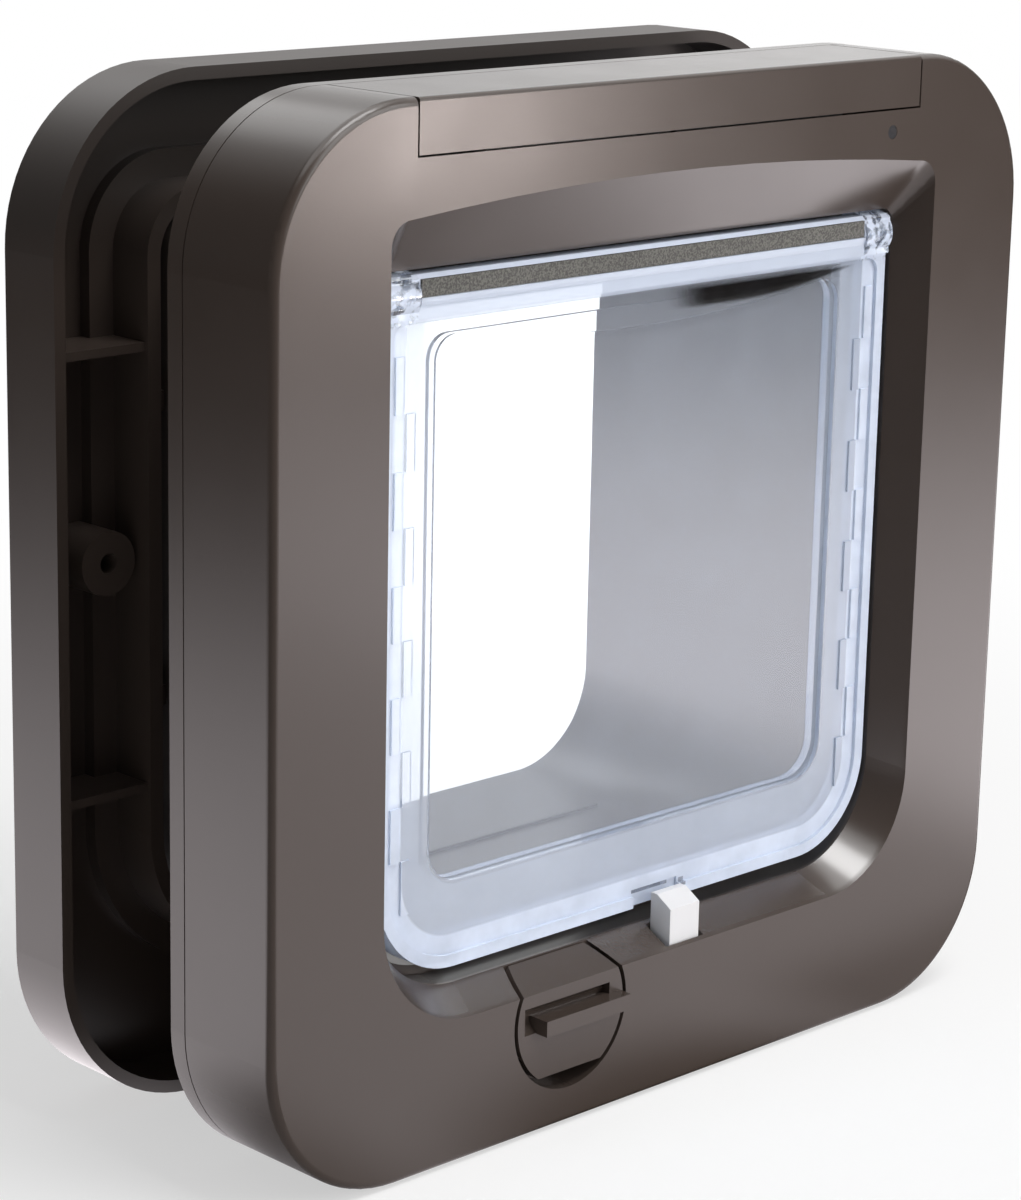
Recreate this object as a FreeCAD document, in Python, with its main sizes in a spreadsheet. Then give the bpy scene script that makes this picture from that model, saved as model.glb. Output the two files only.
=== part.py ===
import FreeCAD, Part
import Sketcher
import math
import os

# Microchip cat flap: an indoor unit with a clear swinging flap, a tunnel
# through the door and an outdoor frame.
# Depths below are measured along Y from the indoor front face (0) to outdoors,
# X runs across the width and Z up from the bottom edge. Each piece is then
# placed so that the middle of the whole depth lies at Y = 0.

os.makedirs("parts", exist_ok=True)
doc = FreeCAD.newDocument("cat_flap")
Vec = FreeCAD.Vector

# Sizes in millimetres.
SIZES = {
    "frame_w": 210.0,
    "frame_h": 210.0,
    "frame_r": 32.0,
    "unit_d": 31.0,
    "seam_y": 25.0,
    "skin": 2.6,
    "face_t": 3.0,
    "gap": 0.3,
    "edge_r": 1.6,
    "open_side": 28.0,
    "open_low": 30.0,
    "open_head": 22.0,
    "open_rise": 3.6,
    "open_rt": 5.0,
    "open_rb": 24.0,
    "neck_side": 4.0,
    "neck_low": 4.2,
    "neck_head": 10.8,
    "neck_rt": 3.0,
    "neck_rb": 22.0,
    "reveal_d": 8.0,
    "throat_end": 15.0,
    "tube_t": 2.4,
    "flap_side": 1.5,
    "flap_lift": 3.3,
    "flap_y": 8.0,
    "flap_t": 6.0,
    "flap_rb": 20.5,
    "bead_w": 2.5,
    "bead_step": 0.8,
    "rim_w": 14.0,
    "foot_h": 17.5,
    "head_sag": 4.0,
    "panel_t": 2.4,
    "hinge_y": 11.0,
    "hinge_drop": 5.2,
    "rail_r": 4.2,
    "lug_r": 4.7,
    "lug_w": 8.0,
    "rod_r": 1.5,
    "run_gap": 0.06,
    "sleeve_side": 3.0,
    "sleeve_y": 15.4,
    "sleeve_under": 0.4,
    "flange_reach": 1.2,
    "inner_over": 1.6,
    "inner_wall": 1.8,
    "sleeve_over": 3.8,
    "sleeve_rt": 6.0,
    "sleeve_rb": 24.0,
    "sleeve_wall": 2.5,
    "sleeve_end": 96.5,
    "out_y": 63.5,
    "out_d": 17.0,
    "out_r": 34.0,
    "collar_gap": 3.0,
    "collar_t": 3.2,
    "fix_in": 15.0,
    "fix_up": 9.0,
    "post_in": 14.0,
    "post_end": 42.0,
    "post_r": 4.0,
    "screw_r": 1.4,
    "bay_h": 10.5,
    "bay_end": 18.7,
    "bay_gap": 0.4,
    "cell_r": 7.25,
    "cell_len": 50.5,
    "button_y": 15.0,
    "button_r": 3.0,
    "lens_drop": 15.4,
    "dial_x": -25.8,
    "dial_z": 23.5,
    "dial_r": 14.9,
    "dial_gap": 1.0,
    "dial_t": 7.5,
    "dial_chord": 12.0,
    "grip_w": 24.0,
    "grip_t": 3.3,
    "grip_shift": 2.3,
    "grip_out": 3.0,
    "scoop_r": 2.9,
    "scoop_depth": 2.2,
    "stem_r": 4.95,
    "cam_r": 6.2,
    "cam_reach": 7.2,
    "cam_t": 3.7,
    "latch_x": 4.0,
    "latch_w": 8.7,
    "latch_y": 1.2,
    "latch_d": 5.6,
    "latch_low": 18.0,
    "latch_top": 40.5,
    "slot_side": 1.3,
    "exit_x": -12.7,
    "exit_y": 17.0,
    "exit_d": 5.0,
    "exit_low": 12.5,
    "exit_top": 34.8,
    "lip_t": 1.6,
    "dash_len": 11.0,
    "dash_w": 2.2,
    "rib_y": 65.0,
    "rib_half": 46.0,
    "rib_h": 0.7,
    "motor_r": 5.0,
    "motor_len": 20.0,
    "motor_y": 14.0,
    "board_w": 17.0,
    "board_in": 5.5,
    "board_t": 1.6,
    "board_up": 6.0,
    "board_down": 8.0,
    "head_r": 2.9,
    "head_t": 1.3,
    "hole_r": 2.75,
    "coil_t": 1.5,
    "contact_t": 0.5,
    "contact_r": 2.75,
    "block_w": 5.5,
    "block_h": 9.0,
}

sheet = doc.addObject("Spreadsheet::Sheet", "Sizes")
for row, (word, number) in enumerate(SIZES.items(), 1):
    sheet.set("A%d" % row, word)
    sheet.set("B%d" % row, "%g" % number)
    sheet.setAlias("B%d" % row, word)
doc.recompute()


class Size:
    """A length with the sheet formula that it comes from."""

    def __init__(self, value, text):
        self.value = value
        self.text = text

    def __float__(self):
        return self.value

    def __add__(self, other):
        other = size(other)
        return Size(self.value + other.value, "(%s + %s)" % (self.text, other.text))

    def __sub__(self, other):
        other = size(other)
        return Size(self.value - other.value, "(%s - %s)" % (self.text, other.text))

    def __mul__(self, other):
        other = size(other)
        return Size(self.value * other.value, "(%s * %s)" % (self.text, other.text))

    def __truediv__(self, other):
        other = size(other)
        return Size(self.value / other.value, "(%s / %s)" % (self.text, other.text))

    def __radd__(self, other):
        return size(other) + self

    def __rsub__(self, other):
        return size(other) - self

    def __neg__(self):
        return size(0) - self


def size(value):
    if isinstance(value, Size):
        return value
    return Size(float(value), "(%g)" % value)


class Sheet:
    """Each size of the sheet by its word."""

    def __getattr__(self, word):
        return Size(float(sheet.get(word)), "Sizes." + word)


S = Sheet()


def bind(item, path, value):
    item.setExpression(path, size(value).text)


# Middle of the whole depth, from the dial's grip to the tunnel's end.
MID = (S.sleeve_end - S.grip_out) / 2

# Solids from primitives.

TURN = {
    "X": FreeCAD.Rotation(Vec(0, 1, 0), 90),
    "Y": FreeCAD.Rotation(Vec(1, 0, 0), -90),
    "Z": FreeCAD.Rotation(),
}


def box(name, x, y, z):
    """Block between low and high values along X, Y and Z."""
    item = doc.addObject("Part::Box", name)
    for path, axis, (low, high) in (("Length", "x", x), ("Width", "y", y), ("Height", "z", z)):
        bind(item, path, size(high) - low)
        bind(item, "Placement.Base." + axis, size(low) - MID if axis == "y" else low)
    return item


def rod(name, axis, radius, centre, span):
    """Cylinder along an axis: its centre in the other two axes, and its span."""
    item = doc.addObject("Part::Cylinder", name)
    item.Placement = FreeCAD.Placement(Vec(), TURN[axis])
    bind(item, "Radius", radius)
    bind(item, "Height", size(span[1]) - span[0])
    across = [letter for letter in "XYZ" if letter != axis]
    for letter, value in zip(across + [axis], list(centre) + [span[0]]):
        bind(item, "Placement.Base." + letter.lower(), size(value) - MID if letter == "Y" else value)
    return item


def fuse(name, *items):
    item = doc.addObject("Part::MultiFuse", name)
    item.Shapes = list(items)
    item.Refine = True
    return item


def cut(name, base, *tools):
    item = doc.addObject("Part::Cut", name)
    item.Base = base
    item.Tool = tools[0] if len(tools) == 1 else fuse(name + "_tools", *tools)
    item.Refine = True
    return item


# Rounded outlines in planes across Y.

def rounded_sketch(body, name, w, low, top, rt, rb, y):
    """Rectangle centred on X with round corners, in the body's XZ plane moved to y."""
    sketch = body.newObject("Sketcher::SketchObject", name)
    plane = [p for p in body.Origin.OriginFeatures if p.Role == "XZ_Plane"][0]
    sketch.AttachmentSupport = (plane, [""])
    sketch.MapMode = "FlatFace"
    bind(sketch, "AttachmentOffset.Base.z", -size(y))
    w, low, top, rt, rb = (size(v) for v in (w, low, top, rt, rb))
    a, z0, z1, ct, cb = w.value / 2, low.value, top.value, rt.value, rb.value
    corners = [
        (a - cb, z0 + cb, cb, -90),
        (a - ct, z1 - ct, ct, 0),
        (-a + ct, z1 - ct, ct, 90),
        (-a + cb, z0 + cb, cb, 180),
    ]
    ends = [
        ((-a + cb, z0), (a - cb, z0)),
        ((a, z0 + cb), (a, z1 - ct)),
        ((a - ct, z1), (-a + ct, z1)),
        ((-a, z1 - ct), (-a, z0 + cb)),
    ]
    for p, q in ends:
        sketch.addGeometry(Part.LineSegment(Vec(p[0], p[1], 0), Vec(q[0], q[1], 0)), False)
    for x, z, r, turn in corners:
        circle = Part.Circle(Vec(x, z, 0), Vec(0, 0, 1), r)
        start = math.radians(turn)
        sketch.addGeometry(Part.ArcOfCircle(circle, start, start + math.pi / 2), False)
    rules = []
    for side in range(4):
        rules.append(("Tangent", side, 2, 4 + side, 1))
        rules.append(("Tangent", 4 + side, 2, (side + 1) % 4, 1))
    rules += [("Horizontal", 0), ("Horizontal", 2), ("Vertical", 1), ("Vertical", 3)]
    rules += [("Equal", 4, 7), ("Equal", 5, 6)]
    for rule in rules:
        sketch.addConstraint(Sketcher.Constraint(*rule))
    measured = [
        (("Radius", 4), rb),
        (("Radius", 5), rt),
        (("DistanceX", -1, 1, 1, 1), w / 2),
        (("DistanceX", 3, 1, -1, 1), w / 2),
        (("DistanceY", -1, 1, 2, 1), top),
    ]
    if low.value > 0:
        measured.append((("DistanceY", -1, 1, 0, 1), low))
    else:
        sketch.addConstraint(Sketcher.Constraint("PointOnObject", 0, 1, -1))
    add_measures(sketch, measured)
    return sketch


def add_measures(sketch, measured):
    for number, (rule, value) in enumerate(measured):
        place = sketch.addConstraint(Sketcher.Constraint(*(rule + (value.value,))))
        sketch.renameConstraint(place, "size_%d" % number)
        bind(sketch, "Constraints.size_%d" % number, value)


def pad(body, name, outline, y, depth):
    """Pad an outline from y towards outdoors."""
    sketch = rounded_sketch(body, name + "_outline", *outline, y)
    item = body.newObject("PartDesign::Pad", name)
    item.Profile = sketch
    item.Reversed = True
    bind(item, "Length", depth)
    return item


def pocket(body, name, outline, y, depth):
    """Pocket an outline from y towards outdoors."""
    sketch = rounded_sketch(body, name + "_outline", *outline, y)
    item = body.newObject("PartDesign::Pocket", name)
    item.Profile = sketch
    bind(item, "Length", depth)
    return item


def new_body(name):
    body = doc.addObject("PartDesign::Body", name)
    bind(body, "Placement.Base.y", -MID)
    return body


def slab(name, outline, y0, y1):
    """Plate with a rounded outline between two depths."""
    body = new_body(name)
    pad(body, name + "_pad", outline, y0, size(y1) - y0)
    return body


def grown(outline, by):
    """The same outline moved outwards by a distance."""
    w, low, top, rt, rb = (size(v) for v in outline)
    return (w + size(by) * 2, low - by, top + by, rt + by, rb + by)


def rim_edges(shape, y, reach):
    """Names of the edges that lie on the plane at y along the outer border."""
    half = float(reach) / 2
    found = []
    for number, edge in enumerate(shape.Edges, 1):
        limits = edge.BoundBox
        flat = abs(limits.YMin - float(y)) < 1e-4 and abs(limits.YMax - float(y)) < 1e-4
        far = max(abs(limits.XMin), abs(limits.XMax)) > half - 0.01
        far = far or limits.ZMin < 0.01 or limits.ZMax > float(S.frame_h) - 0.01
        if flat and far:
            found.append("Edge%d" % number)
    return found


def dress_rim(kind, path, body, name, y, length, reach):
    doc.recompute()
    tip = body.Tip
    found = rim_edges(tip.Shape, y, reach)
    item = body.newObject(kind, name)
    item.Base = (tip, found)
    bind(item, path, length)
    return item


def round_rim(*where):
    return dress_rim("PartDesign::Fillet", "Radius", *where)


def bevel_rim(*where):
    return dress_rim("PartDesign::Chamfer", "Size", *where)


def outline_wire(y, w, low, top, rt, corner, rise=0.0):
    """Closed wire across Y: four sides and four corners, with a bowed top side."""
    y, a, z0, z1, r, rise = (float(v) for v in (y, size(w) / 2, low, top, rt, rise))
    dx, dz, bulge = (float(v) for v in corner)
    k = math.sqrt(0.5)

    def at(x, z):
        return Vec(x, y, z)

    def bend(p, m, q):
        return Part.Arc(p, m, q).toShape()

    def line(p, q):
        return Part.LineSegment(p, q).toShape()

    def lower(sign):
        p, q = at(sign * (a - dx), z0), at(sign * a, z0 + dz)
        if bulge > 0:
            return p, at(sign * (a - dx + dx * k), z0 + dz - dz * k), q
        return p, None, q

    p0, m0, q0 = lower(1)
    p1, m1, q1 = lower(-1)
    tr = at(a, z1 - r), at(a - r + r * k, z1 - r + r * k), at(a - r, z1)
    tl = at(-a + r, z1), at(-a + r - r * k, z1 - r + r * k), at(-a, z1 - r)
    top_edge = bend(tr[2], at(0, z1 + rise), tl[0]) if rise else line(tr[2], tl[0])
    edges = [
        line(p1, p0),
        bend(p0, m0, q0) if m0 else line(p0, q0),
        line(q0, tr[0]),
        bend(*tr),
        top_edge,
        bend(*tl),
        line(tl[2], q1),
        bend(q1, m1, p1) if m1 else line(q1, p1),
    ]
    return Part.Wire(edges)


def loft(*wires):
    return Part.makeLoft(list(wires), True, True)


def shaped(name, solid):
    item = doc.addObject("Part::Feature", name)
    item.Shape = solid
    item.Placement = FreeCAD.Placement(Vec(0, -float(MID), 0), FreeCAD.Rotation())
    return item


def round_corner(r):
    return (r, r, 1)


# Widths keep their distance from the frame's sides, and heights theirs from
# its bottom or its top.

half_w = S.frame_w / 2
open_w = S.frame_w - S.open_side * 2
open_top = S.frame_h - S.open_head
throat_w = open_w - S.neck_side * 2
throat_low = S.open_low + S.neck_low
throat_top = open_top - S.neck_head
sleeve_w = throat_w + S.sleeve_side * 2
sleeve_low = throat_low - S.sleeve_under
inner_top = throat_top + S.inner_over
sleeve_top = throat_top + S.sleeve_over
post_x = half_w - S.post_in
fix_x = half_w - S.fix_in
fix_z = S.frame_h / 2 + S.fix_up
hinge_z = throat_top - S.hinge_drop
hinge_spot = (S.hinge_y, hinge_z)

FRAME = (S.frame_w, 0, S.frame_h, S.frame_r, S.frame_r)
OUT_FRAME = (S.frame_w, 0, S.frame_h, S.out_r, S.out_r)
PLATE_Y = S.unit_d - S.skin

# The tapered reveal of the front opening and the straight throat behind it.

CORNER_CUT = 0.62


def reveal_solid(extra, front, back, straight=False):
    """The reveal and throat, grown outwards by extra, from front to back.

    Straight lower corners save facets on the hidden outside of the wall.
    """
    grow = size(extra)

    def corner(r):
        across = (r + grow) * CORNER_CUT if straight else r + grow
        return (across, across, 0 if straight else 1)

    lip = dict(
        w=open_w + grow * 2,
        low=S.open_low - grow,
        top=open_top + grow,
        rt=S.open_rt + grow,
        corner=corner(S.open_rb),
        rise=S.open_rise,
    )
    neck = dict(
        w=throat_w + grow * 2,
        low=throat_low - grow,
        top=throat_top + grow,
        rt=S.neck_rt + grow,
        corner=corner(S.neck_rb),
    )
    deep = float(S.reveal_d)
    solid = loft(outline_wire(0, **lip), outline_wire(deep, **neck))
    throat = Part.Face(outline_wire(deep, **neck)).extrude(Vec(0, float(back) - deep, 0))
    solid = solid.fuse(throat)
    if front < 0:
        ahead = Part.Face(outline_wire(front, **lip)).extrude(Vec(0, -front, 0))
        solid = solid.fuse(ahead)
    return solid.removeSplitter()


reveal = shaped("reveal_space", reveal_solid(0, -5.0, S.throat_end + 1))
reveal_tube = shaped("reveal_tube", reveal_solid(S.tube_t, 0, S.throat_end, True))

# Front cover: face plate, side walls, reveal tube, screw posts and dial cup.

shell = new_body("front_shell")
pad(shell, "front_block", FRAME, 0, S.seam_y)
pocket(shell, "front_hollow", grown(FRAME, -S.skin)[:1] + (S.skin, S.frame_h - S.skin)
       + (S.frame_r - S.skin, S.frame_r - S.skin), S.face_t, S.seam_y)
round_rim(shell, "front_rim", 0, S.edge_r, S.frame_w)

post_spots = []
for side in (-1, 1):
    for height in (S.post_end, S.frame_h - S.post_end):
        post_spots.append((post_x * side, height))

front_adds = [shell, reveal_tube]
front_cuts = [reveal]
for number, spot in enumerate(post_spots, 1):
    front_adds.append(rod("post_%d" % number, "Y", S.post_r, spot, (S.face_t - 1, PLATE_Y - S.gap)))
    front_cuts.append(rod("post_bore_%d" % number, "Y", S.screw_r + 0.05, spot, (S.face_t + 4, S.unit_d)))

board_y = S.exit_y
board_low, board_high = S.post_end + S.board_up, fix_z - S.board_down
for number, height in enumerate((board_low + S.board_up, board_high - S.board_down), 1):
    front_adds.append(rod("board_post_%d" % number, "Y", S.post_r / 2, (post_x, height),
                          (S.face_t - 1, board_y - S.gap)))

dial_spot = (S.dial_x, S.dial_z)
cup_floor = S.dial_t + S.gap
cup_back = cup_floor + 2
front_adds.append(rod("dial_cup", "Y", S.dial_r + 2.4, dial_spot, (0.5, cup_back)))
front_cuts.append(rod("dial_well", "Y", S.dial_r + S.dial_gap, dial_spot, (-1, cup_floor)))
front_cuts.append(rod("stem_bore", "Y", S.stem_r + 0.05, dial_spot, (0, cup_back + 2)))

tray_x = S.cell_len + 1.3
tray_end = tray_x + 2
half_bay = tray_x + S.bay_end
bay_low = S.frame_h - S.bay_h
front_cuts.append(box("bay_mouth", (-half_bay - S.bay_gap, half_bay + S.bay_gap), (-1, S.unit_d),
                      (bay_low - S.bay_gap, S.frame_h + 1)))
latch_span = (S.latch_x - S.slot_side, S.latch_x + S.latch_w + S.slot_side)
front_cuts.append(box("latch_slot", latch_span, (S.latch_y - S.gap, S.latch_y + S.latch_d + S.gap),
                      (S.latch_low - 11, S.latch_top + 4)))
lens_spot = (half_bay - 8.2, S.frame_h - S.lens_drop)
front_cuts.append(rod("lens_bore", "Y", 1.45, lens_spot, (-1, S.face_t + 1)))
front_cuts.append(rod("rod_way", "X", S.rod_r + 0.4, hinge_spot, (-open_w / 2 - 1, open_w / 2 + 1)))
front_whole = fuse("front_whole", *front_adds)
front_cover = cut("front_cover", front_whole, *front_cuts)

# Rear housing: back plate and rim with a lip inside the front cover.

rear = new_body("rear_shell")
rear_y = S.seam_y + S.gap
INSIDE = (S.frame_w - S.skin * 2, S.skin, S.frame_h - S.skin, S.frame_r - S.skin, S.frame_r - S.skin)
SLEEVE = (sleeve_w, sleeve_low, sleeve_top, S.sleeve_rt, S.sleeve_rb)
pad(rear, "rear_block", FRAME, rear_y, S.unit_d - rear_y)
pocket(rear, "rear_hollow", INSIDE, rear_y, PLATE_Y - rear_y)
pocket(rear, "rear_mouth", grown(SLEEVE, S.gap), rear_y, S.unit_d)
bevel_rim(rear, "rear_rim", S.unit_d, S.edge_r, S.frame_w)
lip = slab("lip_block", grown(INSIDE, -S.gap), S.seam_y - 2.5, PLATE_Y + 0.5)
lip_space = slab("lip_space", grown(INSIDE, -S.gap - S.lip_t), S.seam_y - 4, PLATE_Y + 2)
lip_ring = cut("lip_ring", lip, lip_space)
rear_cuts = []
for number, spot in enumerate(post_spots, 1):
    rear_cuts.append(rod("rear_screw_way_%d" % number, "Y", S.screw_r + 0.3, spot, (rear_y, S.unit_d + 1)))
    rear_cuts.append(rod("rear_screw_seat_%d" % number, "Y", S.head_r + S.gap, spot,
                         (S.unit_d - 0.2 - S.head_t, S.unit_d + 1)))
for side in (-1, 1):
    spot = (fix_x * side, fix_z)
    rear_cuts.append(rod("rear_fixing_%s" % ("l" if side < 0 else "r"), "Y", S.hole_r, spot,
                         (rear_y, S.unit_d + 1)))
rear_housing = cut("rear_housing", fuse("rear_whole", rear, lip_ring), *rear_cuts)

# Tunnel: a part inside the indoor unit, a flange and a sleeve through the door.

tunnel_body = new_body("tunnel_body")
INNER = (sleeve_w, sleeve_low, inner_top, S.sleeve_rt, S.sleeve_rb)
PASSAGE = (sleeve_w - S.sleeve_wall * 2, sleeve_low + S.sleeve_wall, inner_top - S.inner_wall,
           S.sleeve_rt - 2, S.sleeve_rb - 2)
FLANGE = (sleeve_w + S.flange_reach * 2, sleeve_low - S.flange_reach, inner_top,
          S.sleeve_rt, S.sleeve_rb + S.flange_reach)
flange_y = PLATE_Y - S.gap - 2
pad(tunnel_body, "inner_pad", INNER, S.sleeve_y, flange_y - S.sleeve_y)
pad(tunnel_body, "flange_pad", FLANGE, flange_y, 2)
pad(tunnel_body, "sleeve_pad", SLEEVE, flange_y + 1, S.sleeve_end - flange_y - 1)
pocket(tunnel_body, "passage", PASSAGE, S.sleeve_y, S.sleeve_end)
exit_span = (S.exit_x - 0.3, S.exit_x + S.latch_w + 0.3)
exit_way = box("exit_way", exit_span, (S.exit_y - 0.3, S.exit_y + S.exit_d + 0.3),
               (S.exit_low, throat_low + 6))
floor_rib = box("floor_rib", (-S.rib_half, S.rib_half), (S.rib_y, S.rib_y + 1.2),
                (sleeve_low + 1, sleeve_low + S.sleeve_wall + S.rib_h))
half_lip = sleeve_w / 2 - 8
rain_lip = box("rain_lip", (-half_lip, half_lip), (S.sleeve_y, S.sleeve_y + 2),
               (hinge_z + 3.1, inner_top - 1))
tunnel = cut("tunnel", fuse("tunnel_whole", tunnel_body, floor_rib, rain_lip), exit_way)

# Outdoor frame: a shell open towards the door with a collar round the sleeve.

out = new_body("out_shell")
out_back = S.out_y + S.out_d
out_plate = out_back - S.skin
out_open_w = sleeve_w + S.collar_gap * 2
OPEN = (out_open_w, sleeve_low - S.collar_gap + 0.2, sleeve_top + S.collar_gap, 10, 26)
OUT_INSIDE = (S.frame_w - S.skin * 2, S.skin, S.frame_h - S.skin, S.out_r - S.skin, S.out_r - S.skin)
pad(out, "out_block", OUT_FRAME, S.out_y, S.out_d)
pocket(out, "out_hollow", OUT_INSIDE, S.out_y, S.out_d - S.skin)
bevel_rim(out, "out_rim", out_back, S.edge_r, S.frame_w)
collar = slab("collar", grown(OPEN, S.collar_t), S.out_y + 0.6, out_plate + 1)
step = slab("collar_step", grown(OPEN, 9), out_plate - 3, out_plate + 1)
out_adds = [out, collar, step]
out_cuts = [slab("out_open", OPEN, S.out_y - 2, out_back + 2)]
pads = []


def on_side(side, near, far):
    """Span along X on the right (1) or the left (-1)."""
    return (near, far) if side > 0 else (-far, -near)


for side, tag in ((-1, "l"), (1, "r")):
    across = on_side(side, out_open_w / 2 + 1, half_w - 1)
    for number, height in enumerate((fix_z - 47, fix_z + 42.5), 1):
        out_adds.append(box("rib_%s%d" % (tag, number), across, (S.out_y + 1.5, out_plate + 1),
                            (height - 0.9, height + 0.9)))
    spot = (fix_x * side, fix_z)
    out_adds.append(rod("out_boss_" + tag, "Y", 6.5, spot, (S.out_y + 3.5, out_plate + 1)))
    out_cuts.append(rod("out_pilot_" + tag, "Y", 2.0, spot, (S.out_y, out_plate - 1)))
    across = on_side(side, sleeve_w / 2 + S.gap, out_open_w / 2 + 1)
    for number, height in enumerate((fix_z - 29, fix_z + 31), 1):
        pads.append(box("pad_%s%d" % (tag, number), across, (S.out_y + 3, out_back - 1),
                        (height - 2, height + 2)))
    middle = sleeve_w * side / 4
    pads.append(box("pad_top_" + tag, (middle - 2, middle + 2), (S.out_y + 3, out_back - 1),
                    (sleeve_top + S.gap, sleeve_top + S.collar_gap + 1)))
out_solid = cut("out_solid", fuse("out_whole", *out_adds), *out_cuts)
exterior_frame = fuse("exterior_frame", out_solid, *pads)

# Battery cover: a top plate with a strip folded down over the front.

def polygon_body(name, points, low, high):
    """Prism along X from a polygon in the YZ plane."""
    body = new_body(name)
    sketch = body.newObject("Sketcher::SketchObject", name + "_profile")
    plane = [p for p in body.Origin.OriginFeatures if p.Role == "YZ_Plane"][0]
    sketch.AttachmentSupport = (plane, [""])
    sketch.MapMode = "FlatFace"
    bind(sketch, "AttachmentOffset.Base.z", low)
    points = [(size(a), size(b)) for a, b in points]
    count = len(points)
    for number in range(count):
        a, b = points[number], points[(number + 1) % count]
        sketch.addGeometry(Part.LineSegment(Vec(a[0].value, a[1].value, 0),
                                            Vec(b[0].value, b[1].value, 0)), False)
    for number in range(count):
        sketch.addConstraint(Sketcher.Constraint("Coincident", number, 2, (number + 1) % count, 1))
    measured = []
    for number, spot in enumerate(points):
        for kind, value, axis in (("DistanceX", spot[0], -2), ("DistanceY", spot[1], -1)):
            if value.value == 0:
                sketch.addConstraint(Sketcher.Constraint("PointOnObject", number, 1, axis))
            else:
                measured.append(((kind, -1, 1, number, 1), value))
    add_measures(sketch, measured)
    item = body.newObject("PartDesign::Pad", name + "_pad")
    item.Profile = sketch
    bind(item, "Length", size(high) - low)
    return body


cover = polygon_body("battery_cover", [
    (0, S.frame_h), (0, bay_low), (S.skin, bay_low), (S.skin, S.frame_h - S.skin),
    (S.seam_y, S.frame_h - S.skin), (S.seam_y, S.frame_h),
], -half_bay, half_bay)
doc.recompute()
cover_block = cover.Tip
lead = []
for number, edge in enumerate(cover_block.Shape.Edges, 1):
    limits = edge.BoundBox
    if limits.YMax < 0.01 and limits.ZMin > float(S.frame_h) - 0.01:
        lead.append("Edge%d" % number)
cover_edge = cover.newObject("PartDesign::Fillet", "cover_edge")
cover_edge.Base = (cover_block, lead)
bind(cover_edge, "Radius", S.edge_r / 2)

# Battery tray, four cells and their contacts. The cells lie in two rows of two,
# the back row lower, so that both clear the passage.

front_cell = (S.face_t + S.cell_r + 0.15, S.frame_h - S.skin - S.cell_r - 0.15)
back_cell = (front_cell[0] + S.cell_r * 1.448, front_cell[1] - S.cell_r * 1.407)
tray_low = sleeve_top + S.gap
tray_front = S.face_t + S.gap
tray_back = PLATE_Y - 0.4
shoulder = open_top + 3
cradle = polygon_body("tray_cradle", [
    (tray_front, shoulder + 5), (tray_front, shoulder), (S.reveal_d + 1, tray_low),
    (tray_back, tray_low), (tray_back, tray_low + 4.7), (back_cell[0] + 1.1, tray_low + 4.7),
    (front_cell[0] + 5.1, front_cell[1] - 5),
], -tray_x - 1, tray_x + 1)
bed_span = (-tray_x - 4, tray_x + 4)
cradle_cut = cut("tray_beds", cradle,
                 rod("bed_front", "X", S.cell_r + 0.25, front_cell, bed_span),
                 rod("bed_back", "X", S.cell_r + 0.25, back_cell, bed_span))
tray_bits = [cradle_cut]
for side, tag in ((-1, "l"), (1, "r")):
    tray_bits.append(polygon_body("tray_end_" + tag, [
        (tray_front, S.frame_h - 4), (tray_front, shoulder), (S.reveal_d + 1, tray_low),
        (tray_back, tray_low), (tray_back, S.frame_h - 12), (back_cell[0] - 0.9, S.frame_h - 4),
    ], *on_side(side, tray_x, tray_end)))
button_x = tray_end + 7.7
button_spot = (button_x, S.button_y)
shelf = (S.frame_h - 14, S.frame_h - 12)
tray_bits.append(box("button_shelf", (tray_x + 1, button_x + 7), (S.button_y - 8, S.button_y + 8), shelf))

plate_x = S.cell_len + 0.6
plate_half = S.cell_r - 3.25


def contact_area(first, last):
    """Depths and heights of a contact plate over the ends of one or two cells."""
    return ((first[0] - plate_half, last[0] + plate_half), (last[1] - plate_half, first[1] + plate_half))


def contact_way(name, span):
    """Slot in a tray end for its contacts, open at the top."""
    depths, heights = contact_area(front_cell, back_cell)
    return box(name, span, (depths[0] - 0.3, depths[1] + 0.3), (heights[0] - 0.3, S.frame_h))


tray = cut("battery_tray", fuse("tray_whole", *tray_bits),
           rod("button_bore", "Z", S.button_r + 0.06, button_spot, (shelf[0] - 6, shelf[1] + 4)),
           contact_way("contact_way_r", (plate_x - 0.2, tray_x)),
           contact_way("contact_way_l", (-tray_x, -plate_x + 0.2)))


def battery(name, spot, start, sign):
    """Cell can with its raised contact at the end that sign points to."""
    can = S.cell_len - 1
    if sign > 0:
        spans = ((start, size(start) + can), (size(start) + can - 0.5, size(start) + S.cell_len))
    else:
        spans = ((size(start) + 1, size(start) + S.cell_len), (start, size(start) + 1.5))
    return fuse(name, rod(name + "_can", "X", S.cell_r, spot, spans[0]),
                rod(name + "_nub", "X", S.contact_r, spot, spans[1]))


cells = []
for row, (spot, sign) in enumerate(((front_cell, 1), (back_cell, -1))):
    for column, start in enumerate((-S.cell_len - 0.3, size(0.3))):
        cells.append(battery("battery_%d" % (row * 2 + column + 1), spot, start, sign))
plate_span = (plate_x, plate_x + S.contact_t)
left_span = (-plate_x - S.contact_t, -plate_x)
contact_right = box("contact_right", plate_span, *contact_area(front_cell, back_cell))
contact_left_front = box("contact_left_front", left_span, *contact_area(front_cell, front_cell))
contact_left_back = box("contact_left_back", left_span, *contact_area(back_cell, back_cell))

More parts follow.
